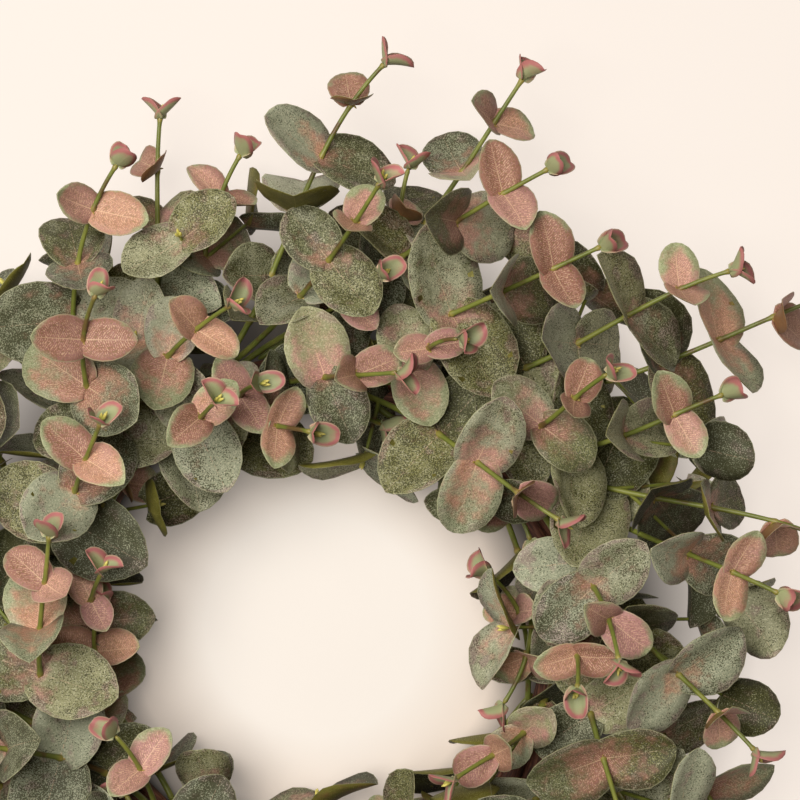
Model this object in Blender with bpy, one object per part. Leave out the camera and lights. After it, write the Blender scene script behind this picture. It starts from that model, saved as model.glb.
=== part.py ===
# Eucalyptus wreath: a ring of twisted vine strands that carries sprays of round leaves.
# It lies flat, with its hole round the Z axis, and everything is in metres.
# A spray is a curved stem through opposite leaf pairs, each pair one bow-tie blade,
# with a small cupped pair and a bud at its tip.
# The sprays sweep clockwise and outwards, each with its root glued on a strand's crest.

import math
import random

import bmesh
import bpy
import numpy as np
from mathutils import Matrix
from mathutils.bvhtree import BVHTree

MM = 0.001
WELD = 0.01 * MM

# The hole's axis from the origin, which is under the middle of the whole wreath's box
HOLE_CENTRE = (9.797 * MM, -2.831 * MM)

# Vine ring
RING_RADIUS = 135 * MM  # hole centre to the middle of the vines
VINE_BUNDLE = 9.5 * MM  # middle of the bundle to its mean surface
VINE_RELIEF = 2.0 * MM  # how far each strand stands out from that surface
VINE_STRANDS = 5
VINE_TURNS = 3
RING_STEPS = 45
RING_MIDDLE = 6 * MM  # height of the bundle's middle over its flat underside
TWIG_COUNT = 8
TWIG_LENGTH = 30 * MM
TWIG_RADIUS = 1.4 * MM
TWIG_SINK = 5 * MM  # how deep a twig's foot is in the bundle

# Stems
STEM_RADIUS = 1.7 * MM  # of its four corners where it leaves the ring
TIP_RADIUS = 1.2 * MM
BUD_RADIUS = 1.9 * MM
BUD_LENGTH = 8 * MM
STEM_SEAT = 0.3 * MM  # from a root's corners to the strand it lies on
STEM_GAP = 0.6 * MM  # half of what is kept between two stems
STEM_MARGIN = 0.3 * MM  # kept between a stem and a leaf, beside the leaf's own clearance
SEAT_STEP = 0.1 * MM  # a root is raised by this until its corners clear the vines
LEAVING_ANGLE = 24  # degrees between a root and the ring it lies along
# How far a root moves round the ring, in degrees, and how far the stem's middle is raised and
# swung outwards, in mm. They are tried in turn until the stem is clear.
STEM_MOVES = [
    (moved, lift, swing)
    for moved in (0, 6, -6, 12, -12)
    for swing in (0, 10, -10)
    for lift in (0, 8, -8, 16, -16, 24)
]

# Leaves
BLADE = 0.7 * MM  # thickness
CLEARANCE = 1.15 * MM  # from one blade's middle to another's
OWN_CLEARANCE = 0.9 * MM  # from a blade's middle to its own stem's corners
ROOT_REACH = 4.5 * MM  # how near its root a leaf may be to its own stem
FLOOR_GAP = 1.5 * MM
HOLE_RADIUS = 84 * MM  # no leaf comes nearer to the hole's axis
LEAF_LENGTHS = (12 * MM, 26 * MM, 38 * MM, 45 * MM, 48 * MM)  # from the tip pair inwards
LEAF_WIDTHS = (0.80, 0.80, 0.86, 0.88, 0.90)  # share of the length
FOLDS_FORWARD = (44, 24, 16, 12, 10)  # degrees towards the tip
MOST_FOLD = math.radians(52)
PAIR_STEPS = (0, 27 * MM, 31 * MM, 33 * MM, 34 * MM)  # from each pair to the one before
LAST_STEP = 35 * MM
ROOT_BARE = 20 * MM  # leafless stretch at the ring
NEAREST_PAIR = 17 * MM  # from the ring to the first pair
KEEL = 14  # degrees that each half rises from the midrib
FACING_UP = (0.35, 1.0)  # how far a pair turns its faces up, from 0 to 1
MOST_TURN = math.radians(66)  # the most that it turns for that
LEAST_SLOPE = 0.46  # sine of the least angle between a leaf and its own stem
TRIES = 140
SLIDE = 9 * MM  # how far along its stem a pair may move to find room
SMALLEST = 0.62  # of its length, a leaf that finds no room

# Outlines: share of the length, share of half the width
ROUND_LEAF = ((0.16, 0.66), (0.46, 1.0), (0.80, 0.78))
SMALL_LEAF = ((0.26, 0.84), (0.72, 0.86))
TIP_LEAF = ((0.5, 0.95),)

# Sprays seen in the upper and right part: root angle on the ring, seat angle round the vines,
# tip x, y, z in mm, heading and lift of the tip, leaf size. A minus root runs anticlockwise.
SPRAYS = (
    (135, 20, -80, 278, 45, 83, 5, 0.90),
    (152, 60, -96, 249, 85, 53, 12, 1.00),
    (125, 15, -34, 257, 50, 55, 5, 0.90),
    (121, 50, 43, 301, 75, 43, 8, 1.00),
    (97, 15, 114, 296, 55, 56, 5, 0.95),
    (102, 50, 128, 243, 100, 27, 12, 1.05),
    (113, 80, 39, 237, 115, 57, 28, 0.95),
    (87, 30, 53, 251, 50, 70, 2, 0.90),
    (91, 75, 155, 203, 100, 24, 10, 1.05),
    (69, 45, 223, 190, 85, 14, 8, 1.00),
    (61, 15, 274, 178, 55, 20, 5, 1.00),
    (53, 55, 218, 127, 95, 21, 12, 0.95),
    (57, 90, 156, 138, 120, 32, 35, 0.85),
    (44, 30, 273, 47, 75, -24, 8, 1.00),
    (33, 55, 245, 20, 105, -27, 16, 0.95),
    (28, 95, 157, -16, 125, -82, 25, 0.95),
    (16, 55, 233, -64, 90, -49, 10, 1.00),
    (10, 100, 135, -31, 110, -100, 30, 0.90),
    (-337, 140, 86, 34, 45, 150, 5, 0.80),
    (348, 120, 68, -77, 90, 214, 12, 0.95),
    (246, 110, -106, -45, 95, 138, 15, 0.90),
    (214, 75, -131, 60, 120, 85, 18, 1.00),
    (192, 130, -105, 38, 90, 60, 30, 0.85),
    (160, 85, -104, 181, 125, 58, 18, 1.05),
    (173, 100, -102, 116, 130, 65, 28, 1.05),
    (133, 120, -44, 124, 130, 45, 45, 0.95),
    (141, 80, -34, 173, 120, 30, 25, 0.90),
    (121, 130, -21, 131, 100, 10, 35, 0.90),
    (106, 105, 51, 136, 115, 4, 20, 0.95),
    (79, 105, 82, 152, 110, -10, 30, 0.85),
    (122, 150, 7, 104, 96, -12, 20, 0.90),
    (86, 125, 133, 57, 110, -30, 15, 1.00),
    (84, 150, 71, 76, 44, -62, 0, 0.90),
    (106, 25, 41, 190, 85, 40, 25, 0.85),
)

# Sprays of the rest, by rule: first and last tip angle, count, tip distance and height in mm,
# how far behind the tip the root is, heading off the radius, lift, seat angle, leaf size
ROWS = (
    (138, 332, 11, 286, 58, 32, -32, 6, 30, 1.00),
    (188, 328, 6, 214, 108, 38, -40, 20, 80, 1.00),
    (-28, 272, 7, 116, 46, 62, -98, 4, 155, 0.95),
)
ROW_SPREAD = (5, 16, 14)  # degrees of angle, mm of distance, mm of height
SEED = 11


def material(name, hex_colour, roughness):
    """A Principled material from an sRGB colour."""
    parts = [int(hex_colour[i : i + 2], 16) / 255 for i in (0, 2, 4)]
    linear = [c / 12.92 if c <= 0.04045 else ((c + 0.055) / 1.055) ** 2.4 for c in parts]
    made = bpy.data.materials.new(name)
    made.use_nodes = True
    shader = made.node_tree.nodes["Principled BSDF"]
    shader.inputs["Base Color"].default_value = (*linear, 1)
    shader.inputs["Roughness"].default_value = roughness
    shader.inputs["Metallic"].default_value = 0
    return made


def unit(vector):
    return vector / np.linalg.norm(vector)


def direction(heading, lift):
    """The unit vector at a compass heading in the XY plane, raised by lift, both in degrees."""
    turn = math.radians(heading)
    rise = math.radians(lift)
    return np.array((math.cos(turn) * math.cos(rise), math.sin(turn) * math.cos(rise), math.sin(rise)))


def ring_grid():
    """Points of the twisted bundle, a row of peaks and valleys at each step round the ring."""
    around = np.arange(RING_STEPS)[:, None] * 2 * np.pi / RING_STEPS
    lobe = np.arange(2 * VINE_STRANDS)[None, :]
    section = lobe * np.pi / VINE_STRANDS + VINE_TURNS * around
    out = VINE_BUNDLE + VINE_RELIEF * np.where(lobe % 2 == 0, 1, -1)
    reach = RING_RADIUS + out * np.cos(section)
    height = np.maximum(RING_MIDDLE + out * np.sin(section), 0)
    return np.stack((reach * np.cos(around), reach * np.sin(around), height), axis=2)


def ring_shape():
    """The closed surface of the bundle, as points and triangles."""
    points = ring_grid()
    steps, lobes = points.shape[:2]
    faces = []
    for i in range(steps):
        for j in range(lobes):
            here, ahead = i * lobes, (i + 1) % steps * lobes
            side = (j + 1) % lobes
            faces.append((here + j, ahead + j, ahead + side))
            faces.append((here + j, ahead + side, here + side))
    return points.reshape(-1, 3), faces


def seat(vines, angle, section, away):
    """The point that far out of the vines' surface, at an angle round the ring and round them."""
    out = direction(angle, section)
    middle = direction(angle, 0) * RING_RADIUS + np.array((0, 0, RING_MIDDLE))
    hit = vines.ray_cast(middle + out * 2 * VINE_BUNDLE, -out)[0]
    return np.array(hit) + out * away


def crest_near(angle, section):
    """The angle round the vines of the nearest strand's crest, at an angle round the ring."""
    spacing = 360 / VINE_STRANDS
    twist = VINE_TURNS * angle
    return twist + round((section - twist) / spacing) * spacing


def seated(vines, angle, section, first):
    """A root's middle, as near the crest it lies on as its corners allow."""
    for i in range(30):
        start = seat(vines, angle, section, STEM_RADIUS / 2 + i * SEAT_STEP)
        run = [start, start + first * ROOT_BARE / 2]
        corners, faces = tube_shape(run, [STEM_RADIUS, STEM_RADIUS])
        if not BVHTree.FromPolygons(corners.tolist(), faces).overlap(vines):
            break
    return start + direction(angle, section) * STEM_SEAT


def stem_curve(vines, spray, moved, lift, swing):
    """Points along a stem from root to bud on a cubic curve, and their distances from the root.
    The root lies on the crest of a strand and leaves it at a low angle."""
    root, wanted, x, y, z, heading, tip_lift, _ = spray
    angle = abs(root) + moved
    section = crest_near(angle, wanted)
    tip = np.array((x, y, z)) * MM
    along = direction(angle + (90 if root < 0 else -90), 0)
    leaving = math.radians(LEAVING_ANGLE)
    first = along * math.cos(leaving) + direction(angle, section) * math.sin(leaving)
    start = seated(vines, angle, section, first)
    reach = np.linalg.norm(tip - start) * 0.38
    bend = np.array((0, 0, lift * MM)) + direction(angle, 0) * swing * MM
    second = start + first * reach + bend * 0.5
    third = tip - direction(heading, tip_lift) * reach + bend
    fine = np.linspace(0, 1, 81)[:, None]
    curve = (
        (1 - fine) ** 3 * start
        + 3 * (1 - fine) ** 2 * fine * second
        + 3 * (1 - fine) * fine**2 * third
        + fine**3 * tip
    )
    length = np.concatenate(([0], np.cumsum(np.linalg.norm(np.diff(curve, axis=0), axis=1))))
    return curve, length


def at_length(curve, length, distance):
    """The point and the tangent at a distance along a curve."""
    point = np.array([np.interp(distance, length, curve[:, axis]) for axis in range(3)])
    ahead = np.array([np.interp(distance + MM, length, curve[:, axis]) for axis in range(3)])
    behind = np.array([np.interp(distance - MM, length, curve[:, axis]) for axis in range(3)])
    return point, unit(ahead - behind)


def pair_places(whole):
    """How far along a stem each pair sits, from the tip pair inwards."""
    place = whole - BUD_LENGTH
    places = [place]
    while True:
        rank = len(places)
        place -= PAIR_STEPS[rank] if rank < len(PAIR_STEPS) else LAST_STEP
        if place < ROOT_BARE:
            return places
        places.append(place)


def radius_at(place, whole):
    return STEM_RADIUS + (TIP_RADIUS - STEM_RADIUS) * place / whole


def stem_points(curve, length):
    """The points of a stem that has every pair in its first place, with their radii."""
    whole = length[-1]
    places = [0, ROOT_BARE / 2, *reversed(pair_places(whole))]
    radii = [radius_at(place, whole) for place in places]
    places += [whole - BUD_LENGTH * 0.55, whole]
    radii += [BUD_RADIUS, BUD_RADIUS * 0.3]
    return [at_length(curve, length, place)[0] for place in places], radii


def corners_at(point, tangent, face, turned, radius, step):
    """Four corners of a stem, cut on the plane that faces along face, step along the stem."""
    level = unit(np.cross(tangent, (0, 0, 1)))
    raised = np.cross(level, tangent)
    corners = []
    for i in range(4):
        angle = turned + i * math.pi / 2
        offset = (level * math.cos(angle) + raised * math.sin(angle)) * radius
        corners.append(point + offset + tangent * (step - offset.dot(face) / tangent.dot(face)))
    return corners


def tube_shape(points, radii):
    """A square tube along points, for testing what is clear of it."""
    corners, faces = [], []
    for i, point in enumerate(points):
        along = unit(points[min(i + 1, len(points) - 1)] - points[max(i - 1, 0)])
        corners += corners_at(point, along, along, math.pi / 4, radii[i], 0)
    for i in range(len(points) - 1):
        for j in range(4):
            a, b = 4 * i + j, 4 * i + (j + 1) % 4
            faces += [(a, b, b + 4), (a, b + 4, a + 4)]
    faces += [(0, 1, 2), (0, 2, 3)]
    return np.array(corners), faces


def pair_frame(tangent, spin, turn):
    """A pair's axes: along its first leaf, across it, and out of its face.
    Spin turns it round the stem from level, and turn tips its face from along the stem to up."""
    level = unit(np.cross(tangent, (0, 0, 1)))
    raised = np.cross(level, tangent)
    along = level * math.cos(spin) + raised * math.sin(spin)
    across = np.cross(tangent, along)
    return (
        along,
        across * math.cos(turn) + tangent * math.sin(turn),
        tangent * math.cos(turn) - across * math.sin(turn),
    )


def leaf_shape(pair, sign, grow=0):
    """The middle surface of one leaf of a pair: points, their normal and triangles.
    A point is the root plus a share of the length and of the half width, lifted by the keel.
    The first point is the root itself, sunk in the stem's middle, and the last one the tip."""
    along, across, face = pair["frame"]
    which = 0 if sign > 0 else 1
    length, fold = pair["lengths"][which], pair["folds"][which]
    outline = (TIP_LEAF, SMALL_LEAF, ROUND_LEAF)[min(pair["rank"], 2)]
    out = along * sign * math.cos(fold) + face * math.sin(fold)
    normal = face * math.cos(fold) - along * sign * math.sin(fold)
    half = length * pair["width"] / 2 + grow
    points = [pair["root"]]
    faces = []
    for side in (1, -1):
        chain = []
        for share, wide in outline:
            lift = normal * half * wide * math.tan(math.radians(KEEL))
            chain.append(len(points))
            points.append(pair["root"] + out * length * share + across * side * half * wide + lift)
        chain.append(1 + 2 * len(outline))
        for a, b in zip(chain, chain[1:], strict=False):
            faces.append((0, b, a) if side * sign > 0 else (0, a, b))
    points.append(pair["root"] + out * (length + grow))
    return np.array(points), normal, faces


def outer_part(pair, sign):
    """Both faces of a leaf beyond its root, for testing that it misses its own stem."""
    points, normal, _ = leaf_shape(pair, sign, CLEARANCE)
    row = (len(points) - 2) // 2
    root, tip = points[0], points[-1]
    corners, faces = [], []
    for step in (OWN_CLEARANCE, -OWN_CLEARANCE):
        start = len(corners)
        sides = (points[1 : row + 1], points[row + 1 : -1])
        for side in sides:
            first = len(corners)
            near = root + unit(side[0] - root) * ROOT_REACH
            corners += [point + normal * step for point in (near, *side, tip)]
            faces += [(first, i, i + 1) for i in range(first + 1, first + row + 1)]
        faces.append((start, start + row + 1, start + row + 2))
    return np.array(corners), faces


def slab(pair):
    """A pair grown by its clearance on every side, for testing what it would touch."""
    corners, faces = [], []
    for sign in (1, -1):
        points, normal, triangles = leaf_shape(pair, sign, CLEARANCE)
        for step in (CLEARANCE, -CLEARANCE):
            start = sum(len(row) for row in corners)
            corners.append(points + normal * step)
            faces += [(a + start, b + start, c + start) for a, b, c in triangles]
    return np.concatenate(corners), faces


class Placed:
    """What is placed already, each with its box, so that only near ones are tested."""

    def __init__(self):
        self.trees, self.owners, self.lows, self.highs = [], [], [], []

    def add(self, owner, points, faces):
        self.trees.append(BVHTree.FromPolygons(points.tolist(), faces))
        self.owners.append(owner)
        self.lows.append(points.min(axis=0))
        self.highs.append(points.max(axis=0))

    def crosses(self, owner, points, faces):
        tree = BVHTree.FromPolygons(points.tolist(), faces)
        return bool(tree.overlap(self.trees[self.owners.index(owner)]))

    def touched(self, owner, points, faces):
        if not self.trees:
            return False
        low, high = points.min(axis=0), points.max(axis=0)
        near = np.all((np.array(self.lows) < high) & (np.array(self.highs) > low), axis=1)
        tree = None
        for i in np.flatnonzero(near):
            if self.owners[i] == owner:
                continue
            tree = tree or BVHTree.FromPolygons(points.tolist(), faces)
            if tree.overlap(self.trees[i]):
                return True
        return False


def all_sprays():
    """The sprays listed above, and those that the rows place by rule."""
    draw = random.Random(SEED)
    sprays = list(SPRAYS)
    for first, last, count, distance, height, behind, turned, lift, section, size in ROWS:
        for i in range(count):
            tip = first + (last - first) * i / (count - 1) + draw.uniform(-1, 1) * ROW_SPREAD[0]
            reach = distance + draw.uniform(-1, 1) * ROW_SPREAD[1]
            z = height + draw.uniform(-1, 1) * ROW_SPREAD[2]
            x, y = reach * math.cos(math.radians(tip)), reach * math.sin(math.radians(tip))
            turn = section + draw.uniform(-12, 12)
            sprays.append((tip + behind, turn, x, y, z, tip + turned, lift, size))
    return sprays


def place_stems(vines, sprays, placed):
    """Each stem's curve, bent until it clears the ring and the stems before it."""
    curves = []
    stems = Placed()
    for index, spray in enumerate(sprays):
        owner = f"stem {index}"
        for moves in STEM_MOVES:
            curve, length = stem_curve(vines, spray, *moves)
            points, radii = stem_points(curve, length)
            wide = tube_shape(points, [radius + STEM_GAP for radius in radii])
            if not placed.touched(owner, *tube_shape(points, radii)) and not stems.touched(owner, *wide):
                break
        stems.add(owner, *wide)
        placed.add(owner, *tube_shape(points, [radius + STEM_MARGIN for radius in radii]))
        curves.append((curve, length))
    return curves


def try_pair(index, rank, size, curve, length, place, placed):
    """A pair at a place on its stem, turned and at last made smaller until it is clear."""
    draw = random.Random(1000 * index + rank)
    kind = min(rank, len(LEAF_LENGTHS) - 1)
    wanted = place
    spin = rank * math.pi / 2 + draw.uniform(-0.3, 0.3) + index
    leaf = LEAF_LENGTHS[kind] * (size if rank else 1)
    uneven = draw.uniform(-0.07, 0.07)
    facing_up = draw.uniform(*FACING_UP)
    for attempt in range(TRIES):
        loose = attempt / TRIES
        turned = spin + draw.uniform(-1, 1) * loose * 2.6
        place = max(NEAREST_PAIR, wanted + draw.uniform(-1, 1) * loose * SLIDE * min(rank, 1))
        root, tangent = at_length(curve, length, place)
        flat = pair_frame(tangent, turned, 0)
        up = math.atan2(-flat[1][2], max(flat[2][2], 0.05))
        up = max(-MOST_TURN, min(MOST_TURN, up)) * facing_up
        up += draw.uniform(-1, 1) * (0.12 + loose * 0.5)
        up = max(-MOST_TURN, min(MOST_TURN, up))
        fold = math.radians(FOLDS_FORWARD[kind])
        shrink = max(SMALLEST, 1 - max(0, loose - 0.2) * 0.5)
        pair = {
            "rank": rank,
            "place": place,
            "spin": turned,
            "root": root,
            "frame": pair_frame(tangent, turned, up if rank else 0),
            "lengths": (leaf * shrink * (1 + uneven), leaf * shrink * (1 - uneven)),
            "width": LEAF_WIDTHS[kind],
            "folds": [
                min(MOST_FOLD, fold + draw.uniform(-1, 1) * (0.15 + loose * 0.4)) for _ in range(2)
            ],
        }
        if rank and math.cos(up) * math.cos(max(pair["folds"])) < LEAST_SLOPE:
            continue
        points, faces = slab(pair)
        if points[:, 2].min() < FLOOR_GAP:
            continue
        if np.hypot(points[:, 0], points[:, 1]).min() < HOLE_RADIUS:
            continue
        if rank and any(placed.crosses(f"stem {index}", *outer_part(pair, sign)) for sign in (1, -1)):
            continue
        if not placed.touched(f"stem {index}", points, faces):
            return pair
    return None


def place_pairs(sprays, curves, placed):
    """Every spray's leaf pairs, all tips first and then each pair further in."""
    pairs = [[] for _ in sprays]
    places = [pair_places(length[-1]) for _, length in curves]
    for rank in range(max(len(row) for row in places)):
        for index, spray in enumerate(sprays):
            if rank >= len(places[index]):
                continue
            curve, length = curves[index]
            pair = try_pair(index, rank, spray[-1], curve, length, places[index][rank], placed)
            if pair is None:
                continue
            pairs[index].append(pair)
            for sign in (1, -1):
                points, _, faces = leaf_shape(pair, sign)
                placed.add(f"leaf {index} {rank} {sign}", points, faces)
    return pairs


def linked(name, data, group):
    made = bpy.data.objects.new(name, data)
    group.objects.link(made)
    return made


def stations(whole, pairs):
    """The places where a stem has a section, from its root to its tip pair, with their pairs."""
    found = {rank: (place, None) for rank, place in enumerate(pair_places(whole))}
    found.update({pair["rank"]: (pair["place"], pair) for pair in pairs})
    rows = [found[rank] for rank in sorted(found, reverse=True)]
    return [(0, None), (ROOT_BARE / 2, None), *rows]


def section(work, *place):
    """Four new vertices of a stem's section."""
    return [work.verts.new(corner) for corner in corners_at(*place)]


def wall(work, below, above, skipped=()):
    """The four sides between two sections, without those that leaves grow from."""
    for i in range(4):
        if i not in skipped:
            j = (i + 1) % 4
            work.faces.new((below[i], below[j], above[j]))
            work.faces.new((below[i], above[j], above[i]))


def grow_leaf(work, pair, sign, below, above):
    """A leaf drawn out of one side of its stem: two faces of like triangles and a rim."""
    points, normal, _ = leaf_shape(pair, sign)
    row = (len(points) - 2) // 2
    left, right, tip = points[1 : row + 1], points[row + 1 : -1], points[-1]
    shells = []
    for (start, end), lift in ((above, BLADE / 2), (below, -BLADE / 2)):
        outline = [*left, tip, *right[::-1]]
        shells.append([start, *(work.verts.new(point + normal * lift) for point in outline), end])
    last = len(shells[0]) - 1
    top = row + 1
    for shell in shells:
        for i in range(1, top):
            work.faces.new((shell[0], shell[i], shell[i + 1]))
            work.faces.new((shell[last], shell[last - i], shell[last - i - 1]))
        work.faces.new((shell[0], shell[top], shell[last]))
    upper, lower = shells
    for i in range(last):
        work.faces.new((upper[i], lower[i], lower[i + 1]))
        work.faces.new((upper[i], lower[i + 1], upper[i + 1]))


def side_ends(pair, corners, ends):
    """The two corners of a stem's side, the one by the leaf's first half before the other."""
    across = pair["frame"][1]
    return sorted(ends, key=lambda i: -np.array(corners[i].co).dot(across))


def spray(name, curve, length, pairs, used, home):
    """A stem of square sections, with each leaf drawn out of the side that faces its way."""
    work = bmesh.new()
    whole = length[-1]
    turned = None
    before = None
    for place, pair in stations(whole, pairs):
        point, tangent = at_length(curve, length, place)
        radius = radius_at(place, whole)
        if pair is None:
            turned = math.pi / 4 if turned is None else turned
            corners = section(work, point, tangent, tangent, turned, radius, 0)
            if before:
                wall(work, before, corners)
            else:
                work.faces.new(corners)
            before = corners
            continue
        along, _, face = pair["frame"]
        quarter = math.pi / 2
        facing = pair["spin"] - math.pi / 4
        turned = facing + round((turned - facing) / quarter) * quarter
        first = round((facing - turned) / quarter) % 4
        half = BLADE / 2 / tangent.dot(face)
        below = section(work, point, tangent, face, turned, radius, -half)
        above = section(work, point, tangent, face, turned, radius, half)
        wall(work, before, below)
        sides = (first, (first + 2) % 4)
        wall(work, below, above, sides)
        for sign, side in zip((1, -1), sides, strict=True):
            ends = side_ends(pair, above, (side, (side + 1) % 4))
            grow_leaf(work, pair, sign, [below[i] for i in ends], [above[i] for i in ends])
        before = above
    for place, radius in ((whole - BUD_LENGTH * 0.55, BUD_RADIUS), (whole, BUD_RADIUS * 0.3)):
        point, tangent = at_length(curve, length, place)
        corners = section(work, point, tangent, tangent, turned, radius, 0)
        wall(work, before, corners)
        before = corners
    work.faces.new(before)
    bmesh.ops.recalc_face_normals(work, faces=work.faces)
    mesh = bpy.data.meshes.new(name)
    work.to_mesh(mesh)
    work.free()
    mesh.materials.append(used)
    return linked(name, mesh, home)


def twig_routes(vines):
    """The thin vine ends that leave the bundle, each as three points with their radii."""
    draw = random.Random(SEED)
    routes = []
    for i in range(TWIG_COUNT):
        angle = (i + 0.5) * 360 / TWIG_COUNT + draw.uniform(-10, 10)
        turned = draw.choice((10, 170))
        start = seat(vines, angle, turned, -TWIG_SINK)
        out = direction(angle, turned)
        reach = unit(direction(angle - 90, 0) + out * 0.5) * TWIG_LENGTH
        routes.append(
            (
                [start, start + reach * 0.5 + out * MM, start + reach + out * 4 * MM],
                [TWIG_RADIUS, TWIG_RADIUS, TWIG_RADIUS * 0.6],
            )
        )
    return routes


def evaluated(thing):
    """A thing's mesh with its modifiers or its bevel in it."""
    bpy.context.view_layer.update()
    depsgraph = bpy.context.evaluated_depsgraph_get()
    return bpy.data.meshes.new_from_object(thing.evaluated_get(depsgraph), depsgraph=depsgraph)


def wire(name, points, radii, group):
    """A four-sided tube with filled ends through points, as a closed mesh object."""
    curve = bpy.data.curves.new(name, "CURVE")
    curve.dimensions = "3D"
    curve.bevel_depth = 1
    curve.bevel_resolution = 0
    curve.use_fill_caps = True
    spline = curve.splines.new("POLY")
    spline.points.add(len(points) - 1)
    for knot, point, radius in zip(spline.points, points, radii, strict=True):
        knot.co = (*point, 1)
        knot.radius = radius
    guide = linked(name + "_guide", curve, group)
    mesh = evaluated(guide)
    bpy.data.objects.remove(guide)
    work = bmesh.new()
    work.from_mesh(mesh)
    bmesh.ops.remove_doubles(work, verts=work.verts, dist=WELD)
    bmesh.ops.recalc_face_normals(work, faces=work.faces)
    work.to_mesh(mesh)
    work.free()
    return linked(name, mesh, group)


def vine_ring(routes, used, home):
    """The twisted bundle with a flat underside and the twigs joined to it, as one body."""
    points, faces = ring_shape()
    mesh = bpy.data.meshes.new("vine_ring")
    mesh.from_pydata(points.tolist(), [], faces)
    bundle = linked("bundle", mesh, home)
    twigs = bpy.data.collections.new("twigs")
    bpy.context.scene.collection.children.link(twigs)
    for i, (route, radii) in enumerate(routes):
        wire(f"twig_{i}", route, radii, twigs)
    union = bundle.modifiers.new("join", "BOOLEAN")
    union.operation = "UNION"
    union.operand_type = "COLLECTION"
    union.collection = twigs
    union.solver = "MANIFOLD"
    whole = evaluated(bundle)
    whole.materials.clear()
    whole.materials.append(used)
    for thing in [bundle, *twigs.objects]:
        bpy.data.objects.remove(thing)
    bpy.data.collections.remove(twigs)
    return linked("vine_ring", whole, home)


def build():
    for thing in list(bpy.data.objects):
        bpy.data.objects.remove(thing)
    home = bpy.data.collections.new("eucalyptus_wreath")
    bpy.context.scene.collection.children.link(home)
    vine = material("vine bark", "5A3A2C", 0.8)
    leaf = material("waxy leaf", "8E9C86", 0.6)

    points, faces = ring_shape()
    vines = BVHTree.FromPolygons(points.tolist(), faces)
    placed = Placed()
    placed.add("ring", points, faces)
    routes = twig_routes(vines)
    for route, radii in routes:
        placed.add("twig", *tube_shape(route, radii))
    sprays = all_sprays()
    curves = place_stems(vines, sprays, placed)
    pairs = place_pairs(sprays, curves, placed)

    vine_ring(routes, vine, home)
    for index, (curve, length) in enumerate(curves):
        spray(f"spray_{index + 1:02d}", curve, length, pairs[index], leaf, home)
    shift = Matrix.Translation((*HOLE_CENTRE, 0))
    for thing in home.objects:
        thing.data.transform(shift)
    bpy.context.view_layer.update()


build()
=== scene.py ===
import math

import bpy
import numpy as np
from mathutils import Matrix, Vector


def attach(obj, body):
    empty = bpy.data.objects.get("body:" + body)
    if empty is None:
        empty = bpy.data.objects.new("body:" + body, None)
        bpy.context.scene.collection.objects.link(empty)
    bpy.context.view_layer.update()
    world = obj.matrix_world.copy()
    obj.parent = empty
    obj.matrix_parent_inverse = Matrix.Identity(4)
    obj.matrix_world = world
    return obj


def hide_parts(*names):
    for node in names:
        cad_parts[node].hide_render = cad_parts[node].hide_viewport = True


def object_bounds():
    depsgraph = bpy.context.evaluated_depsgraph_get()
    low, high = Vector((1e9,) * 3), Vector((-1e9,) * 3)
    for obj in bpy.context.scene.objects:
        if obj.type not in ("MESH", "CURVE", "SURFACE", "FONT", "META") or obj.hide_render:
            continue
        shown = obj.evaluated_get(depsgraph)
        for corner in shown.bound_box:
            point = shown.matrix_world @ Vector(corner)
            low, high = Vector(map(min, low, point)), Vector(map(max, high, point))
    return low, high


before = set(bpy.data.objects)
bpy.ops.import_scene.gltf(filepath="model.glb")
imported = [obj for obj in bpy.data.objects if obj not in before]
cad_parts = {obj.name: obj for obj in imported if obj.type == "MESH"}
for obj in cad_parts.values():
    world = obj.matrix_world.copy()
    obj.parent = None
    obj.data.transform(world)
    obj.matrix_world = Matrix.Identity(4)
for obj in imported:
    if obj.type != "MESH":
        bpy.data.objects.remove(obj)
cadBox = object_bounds()
mm = 0.001
rng = np.random.default_rng(7)
sprayNames = sorted(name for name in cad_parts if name.startswith("spray"))
holeCentre = np.array((9.797 * mm, -2.831 * mm, 0))  # axis of the wreath's hole


def linear(hexColour, alpha=1.0):
    # sRGB hex to linear: the lower part is a straight line, the rest a 2.4 power
    parts = np.array([int(hexColour[i : i + 2], 16) / 255 for i in (0, 2, 4)])
    low = parts / 12.92
    high = ((parts + 0.055) / 1.055) ** 2.4
    return (*np.where(parts <= 0.04045, low, high), alpha)


def plug(tree, node, inputs):
    # fills a node's inputs, in order or by name, each with a value or another node's output
    for key, value in inputs.items() if isinstance(inputs, dict) else enumerate(inputs):
        if isinstance(value, bpy.types.NodeSocket):
            tree.links.new(value, node.inputs[key])
        else:
            node.inputs[key].default_value = value


def addNode(tree, kind, inputs=(), out=0, stops=None, **settings):
    # adds a shader node with its settings, its inputs and its ramp's colours, and gives back one of its outputs
    node = tree.nodes.new("ShaderNode" + kind)
    for name, value in settings.items():
        setattr(node, name, value)
    plug(tree, node, inputs)
    if stops:
        ramp = node.color_ramp
        while len(ramp.elements) < len(stops):
            ramp.elements.new(1.0)
        for element, (place, colour) in zip(ramp.elements, stops):
            element.position = place
            element.color = colour
    return node.outputs[out]


def newMaterial(name):
    material = bpy.data.materials.new(name)
    material.use_nodes = True
    return material, material.node_tree, material.node_tree.nodes["Principled BSDF"]


plus = {"operation": "MULTIPLY_ADD"}  # first times second plus third
times = {"operation": "MULTIPLY"}
soft = {"interpolation_type": "SMOOTHSTEP"}

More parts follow.
